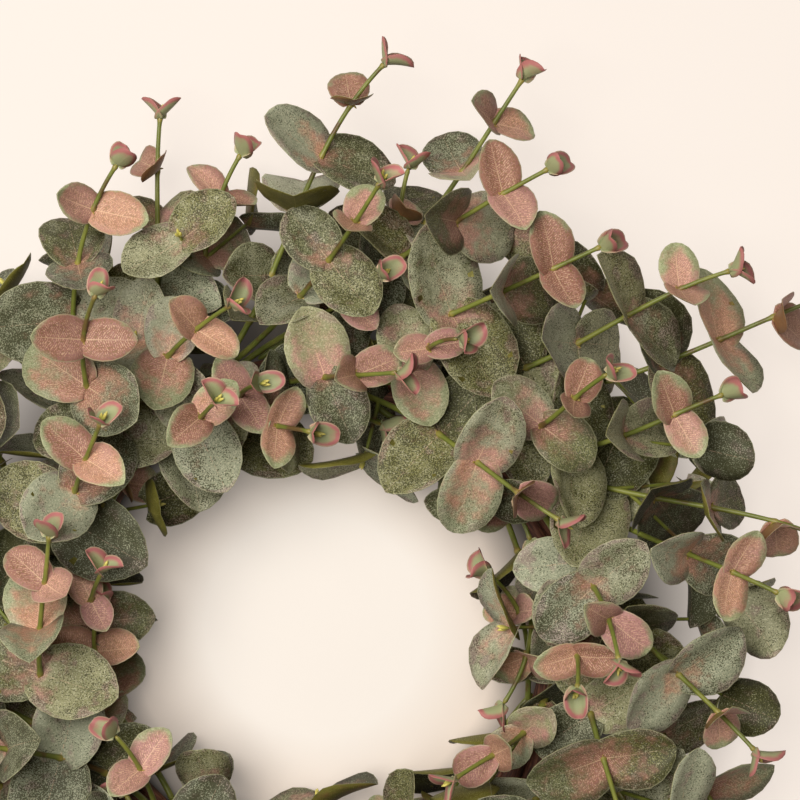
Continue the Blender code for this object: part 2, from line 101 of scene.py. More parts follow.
# Leaf: woven polyester, printed and then coated with soft plastic. It looks matte and dusty: grey-green under
# dense dark flecks with mauve blotches, or pink with feathery golden veins and a green tip. Below it is olive.
leafLooks = {
    "colours": {
        "sageLight": "A3A58F", "sageDeep": "6A6C42", "sageGrey": "969C85", "sageOlive": "8B8850",
        "fleckDark": "313110", "fleckPale": "C8C7AC", "mauve": "946F78", "midribCream": "C2A68C",
        "pinkPeach": "BF907D", "pinkDust": "AF8278", "pinkRose": "996A5B", "pinkAmber": "BA8A61",
        "pinkMauve": "B07D80", "veinCream": "E3C2A1", "marginGreen": "979E77", "edgePale": "B9BB95",
        "raspberry": "AA6A69", "underOlive": "736F2E", "underYellow": "9E9855", "underRose": "85553F",
    },
    "fleckMm": 0.68,  # the print's grains, drawn as coarse as they need to be to show
    "veinMm": 1.25,  # from one side vein to the next
    "blotchMm": 9.0,  # across a mauve or darker patch
    "roughness": 0.58,
}
# what a leaf's corners tell its material: how pink it is, how dark (at random and by painted shade on leaves
# deeper in the wreath), 1 on the upper face, 1 in the pair at the tip, mm in from the margin, and 0 at the stem to 1
# at the leaf's tip
leafMarks = ("blush", "toneAndShade", "upper", "young", "rim", "share")


def makeLeafMaterial(look):
    material, tree, shader = newMaterial("printedClothLeaf")
    place = addNode(tree, "TexCoord", out="Object")
    flat = addNode(tree, "UVMap", uv_map="flat")  # one unit is 10 mm of the flat leaf
    blush, toneAndShade, upper, young, rim, share = (
        addNode(tree, "Attribute", out="Fac", attribute_name=mark) for mark in leafMarks
    )
    sizes = ((look["blotchMm"] * 1.6, 2), (look["blotchMm"], 3), (look["fleckMm"], 1), (look["fleckMm"] * 1.5, 1))
    large, patch, grain, grit = (
        addNode(tree, "TexNoise", {"Vector": place, "Scale": 1000 / size, "Detail": detail, "Roughness": 0.6})
        for size, detail in sizes
    )

    # side veins leave the midrib at about 50 degrees, less here and more there, and bend towards the tip
    side = addNode(tree, "Math", (addNode(tree, "SeparateXYZ", (flat,)),), operation="ABSOLUTE")
    bent = addNode(tree, "Math", (addNode(tree, "Math", (side, side), **times), -0.25), **times)
    along = addNode(tree, "Math", (addNode(tree, "SeparateXYZ", (flat,), out=1), 1.0, bent), **plus)
    lean = addNode(tree, "Math", (patch, -1.3, 0.05), **plus)
    lines = addNode(tree, "Math", (grit, 0.20, addNode(tree, "Math", (side, lean, along), **plus)), **plus)
    turned = addNode(tree, "Math", (lines, 20 * math.pi / look["veinMm"]), **times)
    wave = addNode(tree, "Math", (turned,), operation="SINE")
    broken = addNode(tree, "MapRange", (grit, 0.38, 0.60, 0.0, 1.0), **soft)
    inner = addNode(tree, "MapRange", (rim, 0.5, 5.0, 0.25, 1.0), **soft)
    veins = addNode(tree, "MapRange", (wave, -0.1, 0.9, 0.0, 1.0), **soft)
    veins = addNode(tree, "Math", (veins, addNode(tree, "Math", (broken, inner), **times)), **times)
    tapered = addNode(tree, "Math", (share, 0.03, side), **plus)
    rib = addNode(tree, "MapRange", (tapered, 0.015, 0.05, 1.0, 0.0), **soft)
    ribs = addNode(tree, "Math", (veins, rib), operation="MAXIMUM")
    ribBroken = addNode(tree, "Math", (rib, broken), **times)

    # where the colours lie: margin is 1 at the margin, hue is another for each leaf, deep and flecked are high on
    # dark leaves (dark at random and by painted shade), pale is 1 on the lightest ones, and zone is high where a leaf
    # is pink
    margin = addNode(tree, "MapRange", (rim, 6.0, 0.3, 0.0, 1.0), **soft)
    deep = addNode(tree, "Math", (toneAndShade, 0.5, large), **plus)
    chance = addNode(tree, "Math", (addNode(tree, "Math", (toneAndShade, 23.0), **times),), operation="SINE")
    hue = addNode(tree, "Math", (chance, 0.6, large), **plus)
    flecked = addNode(tree, "Math", (patch, 0.45, addNode(tree, "Math", (toneAndShade, 0.26, grain), **plus)), **plus)
    pale = addNode(tree, "MapRange", (toneAndShade, 0.34, 0.16, 0.0, 1.0), **soft)
    veiny = addNode(tree, "Math", (veins, pale), **times)
    bruised = addNode(tree, "Math", (margin, 0.12, large), **plus)
    dusty = addNode(tree, "Math", (margin, 0.35, addNode(tree, "Math", (patch, 0.6, toneAndShade), **plus)), **plus)
    rosy = addNode(tree, "Math", (large, 0.6, toneAndShade), **plus)
    inward = addNode(tree, "Math", (share, -1.3, addNode(tree, "Math", (margin, -0.5, -0.95), **plus)), **plus)
    zone = addNode(tree, "Math", (patch, 1.7, addNode(tree, "Math", (blush, 1.6, inward), **plus)), **plus)
    thin = addNode(tree, "MapRange", (rim, 3.2, 0.2, 0.0, 0.6), **soft)
    tipwards = addNode(tree, "Math", (share, 0.9, addNode(tree, "Math", (patch, 0.8, thin), **plus)), **plus)
    rusty = addNode(tree, "Math", (blush, 0.5, patch), **plus)

    # every stack starts from a colour, and each coat covers it where its mask lies between the two numbers,
    # as strongly as the third says
    stacks = {
        "sage": ("sageLight", (
            ("sageDeep", deep, 0.50, 1.05, 1.0),
            ("sageGrey", hue, 0.55, 1.05, 0.8),
            ("sageOlive", hue, 0.35, -0.10, 0.5),
            ("mauve", bruised, 0.57, 0.68, 0.45),
            ("fleckPale", grit, 0.54, 0.64, 0.5),
            ("midribCream", veiny, 0.0, 1.0, 0.55),
            ("fleckDark", flecked, 0.88, 0.98, 0.85),
            ("midribCream", ribBroken, 0.0, 1.0, 0.65),
        )),
        "pink": ("pinkPeach", (
            ("pinkDust", dusty, 0.2, 0.85, 1.0),
            ("pinkAmber", hue, 0.60, 1.05, 0.4),
            ("pinkMauve", hue, 0.35, -0.10, 0.5),
            ("pinkRose", rosy, 0.85, 1.3, 1.0),
            ("mauve", grain, 0.55, 0.64, 0.4),
            ("underOlive", grit, 0.44, 0.34, 0.4),
            ("veinCream", ribs, 0.0, 1.0, 0.7),
        )),
        "green": ("marginGreen", (
            ("fleckDark", grain, 0.56, 0.63, 0.4),
            ("fleckPale", grit, 0.54, 0.64, 0.4),
            ("sage", blush, 0.65, 0.35, 1.0),
        )),
        "bud": ("marginGreen", (("raspberry", tipwards, 0.85, 1.40, 1.0),)),
        "top": ("green", (
            ("pink", zone, -0.35, 0.4, 1.0),
            ("bud", young, 0.4, 0.6, 1.0),
            ("edgePale", rim, 0.7, 0.2, 0.45),
        )),
        "below": ("underOlive", (
            ("underYellow", ribs, 0.0, 1.0, 0.8),
            ("fleckDark", grain, 0.55, 0.66, 0.3),
            ("fleckDark", large, 0.40, 0.75, 0.4),
            ("underRose", rusty, 0.62, 1.0, 0.75),
            ("bud", young, 0.4, 0.6, 0.9),
        )),
        "whole": ("below", (("top", upper, 0.4, 0.6, 1.0),)),
    }
    painted = {name: linear(colour) for name, colour in look["colours"].items()}
    for name, (base, coats) in stacks.items():
        painted[name] = painted[base]
        for coat, mask, low, high, most in coats:
            factor = addNode(tree, "MapRange", (mask, low, high, 0.0, most), **soft)
            pair = {0: factor, 6: painted[name], 7: painted[coat]}
            painted[name] = addNode(tree, "Mix", pair, out=2, data_type="RGBA")

    # painted shade in part: the value falls on darker leaves, partly at random and partly as painted shade on pairs
    # farther from the tip and on side shoots
    shade = addNode(tree, "Math", (toneAndShade, -0.30, 1.14), **plus)
    colour = addNode(tree, "HueSaturation", {"Value": shade, "Color": painted["whole"]})
    height = addNode(tree, "Math", (grain, 0.5, addNode(tree, "Math", (ribs, 0.6), **times)), **plus)
    bump = addNode(tree, "Bump", {"Strength": 0.4, "Distance": 0.2 * mm, "Height": height})
    rough = addNode(tree, "Math", (grain, 0.2, look["roughness"] - 0.1), **plus)
    plug(tree, shader, {"Base Color": colour, "Normal": bump, "Roughness": rough, "Specular IOR Level": 0.3})
    return material


# Stem: moulded soft polyethylene, with a satin skin whose green changes slightly along it
stemLooks = {
    "green": "646E2A",
    "yellow": "7D8138",
    "brown": "5E4A28",
    "joint": "A58A48",  # the ragged collar under each pair
    "patchMm": 14.0,
    "grainsPerMetre": 900.0,  # the mould's fine texture
    "roughness": 0.45,
}


def makeStemMaterial(look):
    material, tree, shader = newMaterial("mouldedStem")
    place = addNode(tree, "TexCoord", out="Object")
    patch = addNode(tree, "TexNoise", {"Vector": place, "Scale": 1000 / look["patchMm"], "Detail": 3.0})
    stops = [(0.32, linear(look["brown"])), (0.42, linear(look["green"])), (0.68, linear(look["yellow"]))]
    ramp = addNode(tree, "ValToRGB", (patch,), stops=stops)
    skin = addNode(tree, "TexNoise", {"Vector": place, "Scale": look["grainsPerMetre"], "Detail": 2.0})
    joint = addNode(tree, "Attribute", out="Fac", attribute_name="blush")
    ragged = addNode(tree, "Math", (joint, skin), **times)
    colour = addNode(tree, "Mix", {0: ragged, 6: ramp, 7: linear(look["joint"])}, out=2, data_type="RGBA")
    bump = addNode(tree, "Bump", {"Strength": 0.25, "Distance": 0.2 * mm, "Height": skin})
    plug(tree, shader, {"Base Color": colour, "Normal": bump, "Roughness": look["roughness"]})
    return material


# Bud: the same plastic tinted yellow-green, so it is waxy and paler at the point
budLooks = {"base": "7F8E3C", "point": "D0C668", "roughness": 0.45}


def makeBudMaterial(look):
    material, tree, shader = newMaterial("mouldedBud")
    flat = addNode(tree, "UVMap", uv_map="flat")
    height = addNode(tree, "SeparateXYZ", (flat,), out=1)
    stops = [(0.1, linear(look["base"])), (0.8, linear(look["point"]))]
    ramp = addNode(tree, "ValToRGB", (height,), stops=stops)
    plug(tree, shader, {"Base Color": ramp, "Roughness": look["roughness"]})
    return material


# Vine: dried and peeled vine. It is dark red-brown and dull, with long fibres that catch a little light.
vineLooks = {
    "dark": "2E1A14",
    "bark": "5B3325",
    "worn": "8A5A41",
    "fibreMm": 1.2,  # across a fibre
    "drawnOut": 0.12,  # a fibre's width as a share of its length
    "patchesPerMetre": 90.0,
    "roughness": 0.72,
}


def makeVineMaterial(look):
    material, tree, shader = newMaterial("driedVineBark")
    flat = addNode(tree, "UVMap", uv_map="flat")  # one unit is 10 mm along and round a strand
    drawn = addNode(tree, "Mapping", {"Vector": flat, "Scale": (look["drawnOut"], 1.0, 1.0)})
    fibre = addNode(tree, "TexNoise", {"Vector": drawn, "Scale": 10 / look["fibreMm"], "Detail": 5.0})
    place = addNode(tree, "TexCoord", out="Object")
    patch = addNode(tree, "TexNoise", {"Vector": place, "Scale": look["patchesPerMetre"], "Detail": 3.0})
    mixed = addNode(tree, "Math", (fibre, 0.7, addNode(tree, "Math", (patch, 0.3), **times)), **plus)
    stops = [(0.36, linear(look["dark"])), (0.5, linear(look["bark"])), (0.68, linear(look["worn"]))]
    ramp = addNode(tree, "ValToRGB", (mixed,), stops=stops)
    bump = addNode(tree, "Bump", {"Strength": 0.8, "Distance": 0.5 * mm, "Height": fibre})
    plug(tree, shader, {"Base Color": ramp, "Normal": bump, "Roughness": look["roughness"]})
    return material


leafCloth = makeLeafMaterial(leafLooks)
stemPlastic = makeStemMaterial(stemLooks)
budPlastic = makeBudMaterial(budLooks)
vineBark = makeVineMaterial(vineLooks)
print("materials made")


# How a solid's leaf is drawn: an outline of points, each a share of the length and of half the width,
# lifted from the midrib by the keel, with its two faces a blade's thickness apart
cadLeaf = {
    "blade": 0.7 * mm,
    "keel": math.tan(math.radians(14)),
    "outlines": {3: ((0.5, 0.95),), 5: ((0.26, 0.84), (0.72, 0.86)), 7: ((0.16, 0.66), (0.46, 1.0), (0.80, 0.78))},
}


def readSolid(node):
    # a solid's corners, with doubles merged, and the edges between them
    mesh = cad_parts[node].data
    mesh.calc_loop_triangles()
    places = np.empty(len(mesh.vertices) * 3, np.float32)
    mesh.vertices.foreach_get("co", places)
    triangles = np.empty(len(mesh.loop_triangles) * 3, np.int32)
    mesh.loop_triangles.foreach_get("vertices", triangles)
    corners, index = np.unique(places.reshape(-1, 3), axis=0, return_inverse=True)
    triangles = index.ravel()[triangles].reshape(-1, 3)
    edges = np.sort(np.concatenate((triangles[:, :2], triangles[:, 1:], triangles[:, ::2])), axis=1)
    return corners.astype(float), np.unique(edges, axis=0)


def leafRims(corners, edges):
    # the edges as short as a blade is thick are the rims' corner edges, and those that are parallel
    # and joined belong to one leaf: gives each such edge's two corners, its direction and its leaf
    span = corners[edges[:, 1]] - corners[edges[:, 0]]
    size = np.linalg.norm(span, axis=1)
    short = np.abs(size - cadLeaf["blade"]) < 0.003 * mm
    rungs, ways = edges[short], span[short] / size[short, None]
    owner = np.full(len(corners), -1)
    owner[rungs] = np.arange(len(rungs))[:, None]
    a, b = owner[edges].T
    joined = (a >= 0) & (b >= 0) & (a != b)
    joined[joined] = np.abs((ways[a[joined]] * ways[b[joined]]).sum(axis=1)) > 0.9999
    a, b = a[joined], b[joined]
    group = np.arange(len(rungs))
    for _ in range(8):  # more often than a rim has corners
        np.minimum.at(group, a, group[b])
        np.minimum.at(group, b, group[a])
    return rungs, ways, np.unique(group, return_inverse=True)[1]


def fitLeaf(rim, normal, forward):
    # rim points in order round the leaf, then the root, length and half width that give them: each point is
    # root + share * length + signed width share * half width + lift along the normal, by least squares.
    # Three points don't tell which way the keel lifts, so there the normal is the one that looks forward.
    outline = np.array(cadLeaf["outlines"][len(rim)])
    centre = rim.mean(axis=0)
    level = np.cross(normal, rim[0] - centre)
    turn = np.arctan2((rim - centre) @ level, (rim - centre) @ np.cross(level, normal))
    rim = rim[np.argsort(turn)]
    gaps = np.linalg.norm(rim - np.roll(rim, 1, axis=0), axis=1)
    rim = np.roll(rim, -int(gaps.argmax()), axis=0)
    share = np.concatenate((outline[:, 0], [1], outline[::-1, 0]))
    wide = np.concatenate((outline[:, 1], [0], -outline[::-1, 1]))
    half = np.linalg.norm(rim[0] - rim[-1]) / 2 / outline[0, 1]
    basis = np.stack((np.ones(len(rim)), share, wide, np.abs(wide)), axis=1)
    if len(rim) > 3:
        normal = normal * np.sign(np.linalg.lstsq(basis, rim, rcond=None)[0][3] @ normal)
    else:
        normal = normal * np.sign(normal @ forward)
    rim = rim - np.outer(np.abs(wide) * cadLeaf["keel"] * half, normal)
    root, length, width = np.linalg.lstsq(basis[:, :3], rim, rcond=None)[0]
    return {"root": root, "length": length, "half": width, "normal": normal, "points": len(rim)}


def bezier(controls, share):
    # cubic curve through its first and last control points
    t = share[:, None]
    a, b, c, d = controls
    return (1 - t) ** 3 * a + 3 * (1 - t) ** 2 * t * b + 3 * (1 - t) * t**2 * c + t**3 * d


def runAlong(line):
    # how far along a line each of its points lies
    return np.concatenate(([0], np.cumsum(np.linalg.norm(np.diff(line, axis=0), axis=1))))


stemSteps = 400  # a place on a stem is looked up among this many steps


def stemLine(controls):
    return bezier(controls, np.linspace(0, 1, stemSteps + 1))


def fitStem(points, first, last):
    # the two inner control points of the cubic curve from first to last that lies nearest the points,
    # with each point's place on it found again after every fit
    way = last - first
    share = np.clip((points - first) @ way / (way @ way), 0, 1)
    fine = np.linspace(0, 1, 201)
    for _ in range(12):
        weights = np.stack((3 * (1 - share) ** 2 * share, 3 * (1 - share) * share**2), axis=1)
        rest = points - np.outer((1 - share) ** 3, first) - np.outer(share**3, last)
        inner = np.linalg.lstsq(weights, rest, rcond=None)[0]
        controls = np.array((first, inner[0], inner[1], last))
        line = bezier(controls, fine)
        share = fine[np.linalg.norm(points[:, None] - line[None], axis=2).argmin(axis=1)]
    return controls


def readSpray(node):
    # a spray's leaves, from the tip inwards, and the control points of its stem
    corners, edges = readSolid(node)
    rungs, ways, group = leafRims(corners, edges)
    middles = corners[rungs].mean(axis=1)
    counts = np.bincount(group)
    isLeaf = np.isin(counts, (3, 5, 7))
    stemCorners = np.ones(len(corners), bool)
    stemCorners[rungs[isLeaf[group]]] = False
    stem = corners[stemCorners]
    tips = np.flatnonzero(counts == 3)  # in the tip's pair a rim has three corners
    tipMiddle = np.mean([middles[group == i].mean(axis=0) for i in tips], axis=0)
    distance = np.linalg.norm(stem - tipMiddle, axis=1)
    start = stem[np.argsort(distance)[-4:]].mean(axis=0)  # an end of the square stem has four corners
    forward = [ways[group == i][0] for i in tips]
    forward = sum(way * np.sign(way @ (tipMiddle - start)) for way in forward)
    leaves = [fitLeaf(middles[group == i], ways[group == i][0], forward) for i in np.flatnonzero(isLeaf)]
    leaves.sort(key=lambda leaf: np.linalg.norm(leaf["root"] - tipMiddle))
    end = stem[np.argsort(stem @ forward)[-4:]].mean(axis=0)
    roots = np.array([leaf["root"] for leaf in leaves])
    controls = fitStem(np.concatenate((stem, *[roots] * 4)), start, end)  # a leaf's root counts four times
    spots = np.linalg.norm(roots[:, None] - stemLine(controls)[None], axis=2).argmin(axis=1)
    for leaf, spot in zip(leaves, spots):
        leaf["share"] = spot / stemSteps
    return leaves, controls


# Leaf: a thin cupped blade in the place of each flat one
leafShape = {
    "rows": 10,
    "columns": 5,
    "start": 0.02,  # first row's distance from the stem's middle, as a share of the length
    "grow": 1.08,  # so much larger than the solid's flat leaf
    "growTip": 1.28,  # likewise the cupped pair at the tip
    "thickness": 0.5 * mm,
    "lobe": 0.10,  # how far the base reaches back past the stem, as a share of the length
    "fold": 0.08,  # most that the keel is steeper than the solid's, as a slope
    "cup": 0.08,  # most that the blade bows along its length
    "spoon": 0.10,  # how far the margin curls up, as a share of half the width, give or take as much
    "spoonTip": 0.34,  # likewise the pair at the tip
    "ripple": 0.06,  # most that the margin waves
    "twist": 0.20,  # most that one side lifts over the other towards the tip
    "low": 2.5 * mm,  # a leaf that comes lower is bent up
    "rest": 0.6 * mm,  # none comes lower
}


def gather(*parts):
    # values of one grid put together, as the last axis
    return np.stack(np.broadcast_arrays(*parts), axis=-1)


def leafGrid(leaf, shape, noise):
    # share s runs from the stem to the tip and v from one margin to the other.
    # With q = s^0.85, half width is 2 sqrt(q (1 - q)), a circle's, drawn in a little towards the tip. The height
    # is a soft keel, a spoon that grows as v squared, a bow along the length, a twist that grows with s times v
    # and a wave towards the margin.
    rows = (1 - np.cos(np.linspace(0, 1, shape["rows"]) * np.pi)) / 2
    s = shape["start"] + (1 - shape["start"]) * rows[:, None]
    v = np.linspace(-1, 1, shape["columns"])[None, :]
    isTip = leaf["points"] == 3
    grow = shape["growTip" if isTip else "grow"]
    length = np.linalg.norm(leaf["length"]) * grow
    half = np.linalg.norm(leaf["half"]) * grow
    q = s**0.85
    profile = (2 * np.sqrt((q * (1 - q)).clip(0))) ** (0.85 + 0.1 * noise[3] + (0 if isTip else 0.35 * s))
    keel = cadLeaf["keel"] + shape["fold"] * (1 + noise[0])
    spoon = shape["spoonTip" if isTip else "spoon"] * (1 + noise[1]) * v**2 * profile
    twist = shape["twist"] * noise[4] * s * v * profile
    lift = half * (keel * profile * (np.sqrt(v**2 + 0.03) - np.sqrt(0.03)) + spoon + twist)
    bow = shape["cup"] * noise[1] * length * np.sin(np.pi * s)
    ripple = shape["ripple"] * half * v * np.abs(v) * np.sin(2 * np.pi * (s * 1.2 + noise[2])) * profile
    back = shape["lobe"] * np.abs(v) ** 1.5 * (1 - rows[:, None]) ** 4
    place = s - shape["start"] * (1 - rows[:, None]) - back
    height = lift + bow + ripple
    flat = gather(v * profile * half, place * length) / (10 * mm)
    points = (
        leaf["root"]
        + grow * place[..., None] * leaf["length"]
        + grow * (v * profile)[..., None] * leaf["half"]
        + height[..., None] * leaf["normal"]
    )
    # what would dip into the ground comes to rest on it: below low the height falls off to rest as an exponential
    low, rest = shape["low"], shape["rest"]
    sunk = rest + (low - rest) * np.exp(np.minimum(points[..., 2] - low, 0) / (low - rest))
    points[..., 2] = np.where(points[..., 2] < low, sunk, points[..., 2])
    rim = np.minimum((1 - np.abs(v)) * profile * half, (1 - rows[:, None]) * length) / mm
    return points, flat, rim


def surfaceNormals(points):
    # the cross product of the two directions along the grid, with the tip's row taken from the one before
    down = np.gradient(points, axis=0)
    right = np.gradient(points, axis=1)
    normals = np.cross(right, down)
    normals[-1] = normals[-2]
    return normals / np.linalg.norm(normals, axis=2, keepdims=True).clip(1e-12)


def putInScene(name, data):
    made = bpy.data.objects.new(name, data)
    bpy.context.scene.collection.objects.link(made)
    return made


class Piece:
    # corners, faces, and each corner's flat coordinates and marks, gathered from several surfaces
    def __init__(self):
        self.points, self.flat, self.marks, self.faces, self.kinds = [], [], [], [], []
        self.count = 0

    def add(self, points, flat, faces, kind, marks=None, blush=0.0):
        # faces are blocks of indices, each block with one number of corners
        if marks is None:
            marks = np.zeros((len(points), len(leafMarks)))
            marks[:, 0] = blush
        self.points.append(points)
        self.flat.append(flat)
        self.marks.append(marks)
        for block in faces:
            self.faces += (np.atleast_2d(block) + self.count).tolist()
            self.kinds.append(np.full(len(np.atleast_2d(block)), kind))
        self.count += len(points)

    def finish(self, name, materials):
        points = np.concatenate(self.points)
        flat, marks = np.concatenate(self.flat), np.concatenate(self.marks)
        mesh = bpy.data.meshes.new(name)
        mesh.from_pydata(points.tolist(), [], self.faces)
        mesh.polygons.foreach_set("material_index", np.concatenate(self.kinds).astype(np.int32))
        loops = np.empty(len(mesh.loops), np.int32)
        mesh.loops.foreach_get("vertex_index", loops)
        uvMap = mesh.uv_layers.new(name="flat")
        uvMap.data.foreach_set("uv", flat[loops].astype(np.float32).ravel())
        for i, mark in enumerate(leafMarks):
            attribute = mesh.attributes.new(mark, "FLOAT", "POINT")
            attribute.data.foreach_set("value", marks[:, i].astype(np.float32))
        for material in materials:
            mesh.materials.append(material)
        mesh.shade_smooth()
        return putInScene(name, mesh)


def gridFaces(rows, columns, closed=False, ringed=False):
    # quads between neighbours on a grid, whose last column meets its first where closed, and last row where ringed
    i = np.arange(rows if ringed else rows - 1)[:, None]
    j = np.arange(columns if closed else columns - 1)[None, :]
    below, ahead = (i + 1) % rows, (j + 1) % columns
    corners = (i * columns + j, i * columns + ahead, below * columns + ahead, below * columns + j)
    return gather(*corners).reshape(-1, 4)


def addLeaf(piece, leaf, shape, marks, noise):
    # two faces half a thickness either side of the middle surface, thinner at the margin, the wall between
    # them, and one corner for the whole last row of each
    points, flat, rim = leafGrid(leaf, shape, noise)
    rows, columns = shape["rows"], shape["columns"]
    normals = surfaceNormals(points)
    facing = np.sign(normals.mean(axis=(0, 1)) @ leaf["normal"])
    half = facing * shape["thickness"] / 2 * np.clip(0.5 + rim / 8, 0.5, 1)[..., None]
    size = (rows - 1) * columns + 1
    top = (points + normals * half).reshape(-1, 3)[:size]
    below = (points - normals * half).reshape(-1, 3)[:size]
    grid = np.arange(size - 1).reshape(rows - 1, columns)
    quads = gridFaces(rows - 1, columns)
    last = np.stack((grid[-1, :-1], grid[-1, 1:], np.full(columns - 1, size - 1)), axis=1)
    edge = np.concatenate((grid[0], grid[1:, -1], [size - 1], grid[:0:-1, 0]))
    ahead = np.roll(edge, -1)
    wall = np.stack((edge, edge + size, ahead + size, ahead), axis=1)
    faces = [quads, last, quads[:, ::-1] + size, last[:, ::-1] + size, wall]
    if facing < 0:
        faces = [block[:, ::-1] for block in faces]
    face = np.zeros((2 * size, len(leafMarks)))
    face[:, 0], face[:, 1], face[:, 3] = marks  # blush, tone and young
    face[size:, 2] = leaf.get("bentBack", False)
    face[:size, 2] = 1 - face[size:, 2]
    face[:, 4] = np.tile(rim.ravel()[:size], 2)
    face[:, 5] = np.tile(np.repeat(np.linspace(0, 1, rows), columns)[:size], 2)
    piece.add(np.concatenate((top, below)), np.tile(flat.reshape(-1, 2)[:size], (2, 1)), faces, 0, face)


def unit(ways):
    return ways / np.linalg.norm(ways, axis=-1, keepdims=True)


def roundSection(line, radii, across, up, sides):
    # a circle round each point of a line: its radius times across times cosine plus up times sine
    angle = np.arange(sides) * 2 * np.pi / sides
    circle = across[:, None] * np.cos(angle)[:, None] + up[:, None] * np.sin(angle)[:, None]
    return line[:, None] + circle * radii[:, None, None], angle


def sweep(line, radii, sides):
    # a round section of the given radius carried along a line, square to it, with both ends closed
    tangent = unit(np.gradient(line, axis=0))
    across = unit(np.cross(tangent, (0.13, 0.21, 0.97)))  # no stem runs that way
    points, angle = roundSection(line, radii, across, np.cross(across, tangent), sides)
    points, flat = points.reshape(-1, 3), gather(runAlong(line)[:, None], angle * radii.mean()) / (10 * mm)
    first = np.arange(sides)
    faces = [gridFaces(len(line), sides, closed=True)[:, ::-1], first, first[::-1] + len(points) - sides]
    return points, flat.reshape(-1, 2), faces


stemShape = {
    "rootRadius": 1.75 * mm,
    "tipRadius": 1.1 * mm,
    "stepMm": 2.0,
    "joint": 0.5,  # how much a pair's joint swells
    "jointMm": 1.7,
    "closing": 0.4,  # radius of the ends, as a share
    "past": 0.012,  # share of the curve that it runs on beyond the tip's pair
    "sides": 8,
}


def curveLength(controls):
    return np.linalg.norm(np.diff(bezier(controls, np.linspace(0, 1, 60)), axis=0), axis=1).sum()


def addStem(piece, controls, leaves, shape):
    # the radius falls evenly from root to tip and swells at each pair, as a bell curve
    total = curveLength(controls)
    share = np.linspace(0, 1, int(total / mm / shape["stepMm"]))
    line = bezier(controls, share)
    tipShare = leaves[0]["share"]
    radii = shape["rootRadius"] + (shape["tipRadius"] - shape["rootRadius"]) * share
    spots = np.array(sorted({leaf["share"] for leaf in leaves}))
    away = (share[:, None] - spots) * total / mm
    joint = np.exp(-((away / shape["jointMm"]) ** 2)).max(axis=1)
    radii = radii * (1 + shape["joint"] * joint)
    keep = share <= tipShare + shape["past"]
    line, radii, joint = line[keep], radii[keep], joint[keep]
    radii[0] *= shape["closing"]
    radii[-1] *= shape["closing"]
    piece.add(*sweep(line, radii, shape["sides"]), 1, blush=np.repeat(joint, shape["sides"]))
    return bezier(controls, np.array([tipShare, 1.0]))


budShape = {"count": 3, "length": 7.5 * mm, "radius": 1.05 * mm, "spread": 0.28, "rows": 7, "sides": 6}


def addBuds(piece, first, last, shape):
    # slender spindles round the stem's end, a third of a turn apart: the radius is the sine of pi t to the power 0.7
    way = unit(last - first)
    t = np.linspace(0, 1, shape["rows"])
    for i in range(shape["count"]):
        turn = i * 2.1 + first[0] * 999  # another start on every stem
        axis = way + unit(np.cross(way, (math.cos(turn), math.sin(turn), 0.3))) * shape["spread"]
        length = shape["length"] * rng.uniform(0.7, 1.1)
        line = first + way * mm + np.outer(t * length, unit(axis))
        radii = shape["radius"] * np.sin(np.pi * (0.04 + 0.94 * t)) ** 0.7
        points, flat, faces = sweep(line, radii, shape["sides"])
        flat[:, 1] = np.repeat(t, shape["sides"])
        piece.add(points, flat, faces, 2)


# Older leaves fill the wreath out where the solids leave it bare: in pairs down the lower stems to the vines,
# and on short side shoots. Each pair is placed, turned and folded where there is the most room for it.
olderShape = {
    "stepMm": 27,
    "nearestMm": 13,  # from the stem's root to the lowest pair
    "length": 43 * mm,
    "ratio": 0.88,
    "turns": 10,  # tried in half a circle
    "folds": (10, 28, 46),  # degrees that the leaves lean forwards
    "sizes": (1.0, 0.84, 0.68),
    "shoots": (30 * mm, 44 * mm),
    "least": (2.0, 3.0),  # cells of free room that a leaf needs, on a stem and on a shoot
    "most": 2,  # side shoots on a stem
    "spotsMm": (12, 9),  # first spot for a shoot, and the step to the next
    "upTo": 0.75,  # share of the stem that carries shoots
    "shootTurns": 12,
    "probesMm": (0, 8, 16),  # where room is looked for, back from a shoot's end
    "leans": (50, 72),  # degrees between a shoot and its stem
    "ground": 2.5 * mm,
    "ceiling": (130 * mm, 84 * mm),  # for pairs on the stems and for those on shoots
    "outside": (300 * mm, 250 * mm),  # likewise, from the hole's axis
    "hole": 81 * mm,
    "holeBoxes": ((60.5 * mm, 60.5 * mm), (84.5 * mm, 51 * mm)),  # half sizes of what must stay open
}
roomShape = {
    "cell": 2.5 * mm,
    "reach": 5,  # cells that free room is counted to
    "margin": 15 * mm,
    "tried": (7, 5),  # points along and across a leaf that looks for room
    "filled": (15, 13),  # likewise one that takes it up
}


def roomCells(points):
    return ((points - cadBox[0] + roomShape["margin"]) / roomShape["cell"]).astype(int)


def crowd(room, points):
    # puts points into the field of free room, whose cells hold the number of steps to the nearest thing
    reach = roomShape["reach"]
    cells = roomCells(points).reshape(-1, 3)
    low = np.maximum(cells.min(axis=0) - reach, 0)
    high = cells.max(axis=0) + reach + 1
    room[tuple(cells.T)] = 0
    part = room[low[0] : high[0], low[1] : high[1], low[2] : high[2]]
    for _ in range(reach):
        for axis in range(3):
            line = np.moveaxis(part, axis, 0)
            line[1:] = np.minimum(line[1:], line[:-1] + 1)
            line[:-1] = np.minimum(line[:-1], line[1:] + 1)


def spread(root, length, half, normal, counts):
    # points over a keeled leaf, evenly by share of the length and of the width
    s, v = np.meshgrid(np.linspace(0.12, 1, counts[0]), np.linspace(-0.95, 0.95, counts[1]), indexing="ij")
    wide = (v * 2 * np.sqrt(s * (1 - s)))[..., None]
    rise = np.abs(wide) * cadLeaf["keel"] * np.linalg.norm(half, axis=-1)[..., None, None, None]
    points = root[..., None, None, :] + s[..., None] * length[..., None, None, :]
    points = points + wide * half[..., None, None, :] + rise * normal[..., None, None, :]
    return points.reshape(*length.shape[:-1], -1, 3)


